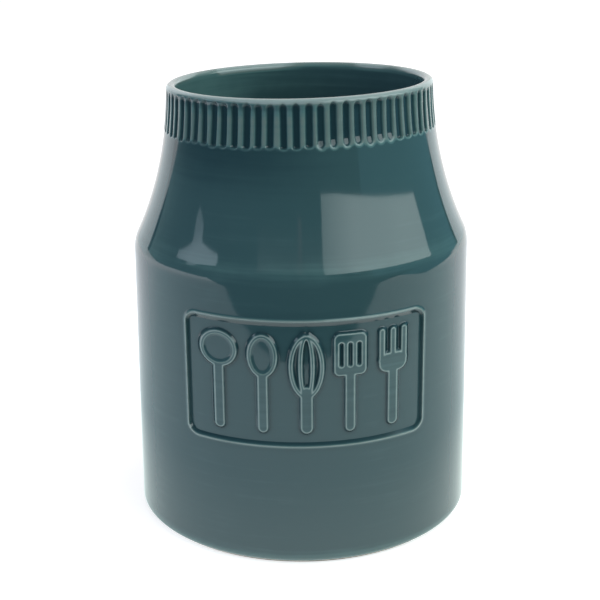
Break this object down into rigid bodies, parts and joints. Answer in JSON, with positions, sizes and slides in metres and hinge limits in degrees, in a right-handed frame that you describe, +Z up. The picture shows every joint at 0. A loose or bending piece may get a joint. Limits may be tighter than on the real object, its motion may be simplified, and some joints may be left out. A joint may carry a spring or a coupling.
{
  "type": "utensil crock",
  "caption": "Glazed ceramic jar with a straight body, flared shoulder, fluted collar and open mouth, for standing kitchen utensils in; a framed relief panel on the front.",
  "frame": {"origin": "on the ground, at the middle of the foot", "axes": "+Z up along the pot's axis, the relief panel faces -Y, +X to the right of someone who looks at the panel"},
  "size_m": [0.1394, 0.1394, 0.18],
  "materials": {
    "teal_glaze": "glossy teal glaze, darker where it pools and paler where it breaks over edges",
    "biscuit": "dry unglazed cream earthenware"
  },
  "bodies": {
    "root": {"crock_base": "teal_glaze", "foot_ring": "biscuit", "crock_wall": "teal_glaze", "fluted_collar": "teal_glaze", "label_panel": "teal_glaze", "panel_frame": "teal_glaze", "relief_ladle": "teal_glaze", "relief_spoon": "teal_glaze", "relief_whisk": "teal_glaze", "relief_turner": "teal_glaze", "relief_fork": "teal_glaze"}
  },
  "joints": []
}
